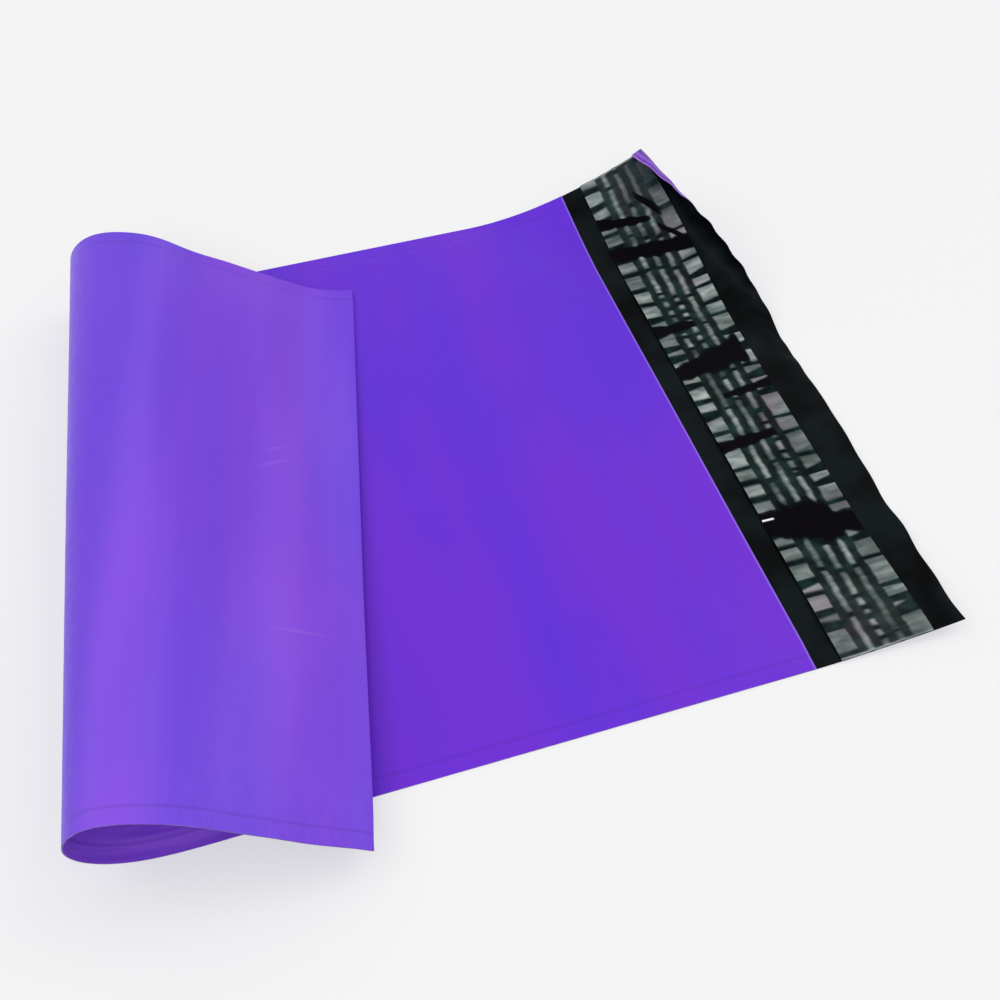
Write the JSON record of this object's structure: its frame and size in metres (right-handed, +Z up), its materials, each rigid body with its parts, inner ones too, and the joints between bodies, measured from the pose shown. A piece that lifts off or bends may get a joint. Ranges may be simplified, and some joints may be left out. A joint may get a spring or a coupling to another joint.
{
  "type": "poly mailer bag",
  "caption": "Violet poly mailer bag lying on its back panel, folded over in a soft loop, with an open flap that carries adhesive under a release liner.",
  "frame": {"origin": "middle of the resting part of the back panel, between the soft fold and the mouth, at the surface it lies on", "axes": "+X along the bag towards the flap, +Y across the bag, +Z up from the resting face"},
  "size_m": [0.2946, 0.2707, 0.0396],
  "materials": {
    "violet_film": "soft satin co-extruded film, violet outside and black inside",
    "adhesive": "tacky pressure-sensitive adhesive",
    "release_film": "translucent glossy release film, slightly puckered"
  },
  "bodies": {
    "root": {"mailer_body": "violet_film", "adhesive_bead_1": "adhesive", "adhesive_bead_2": "adhesive", "adhesive_bead_3": "adhesive", "adhesive_bead_4": "adhesive", "release_liner": "release_film"}
  },
  "joints": []
}
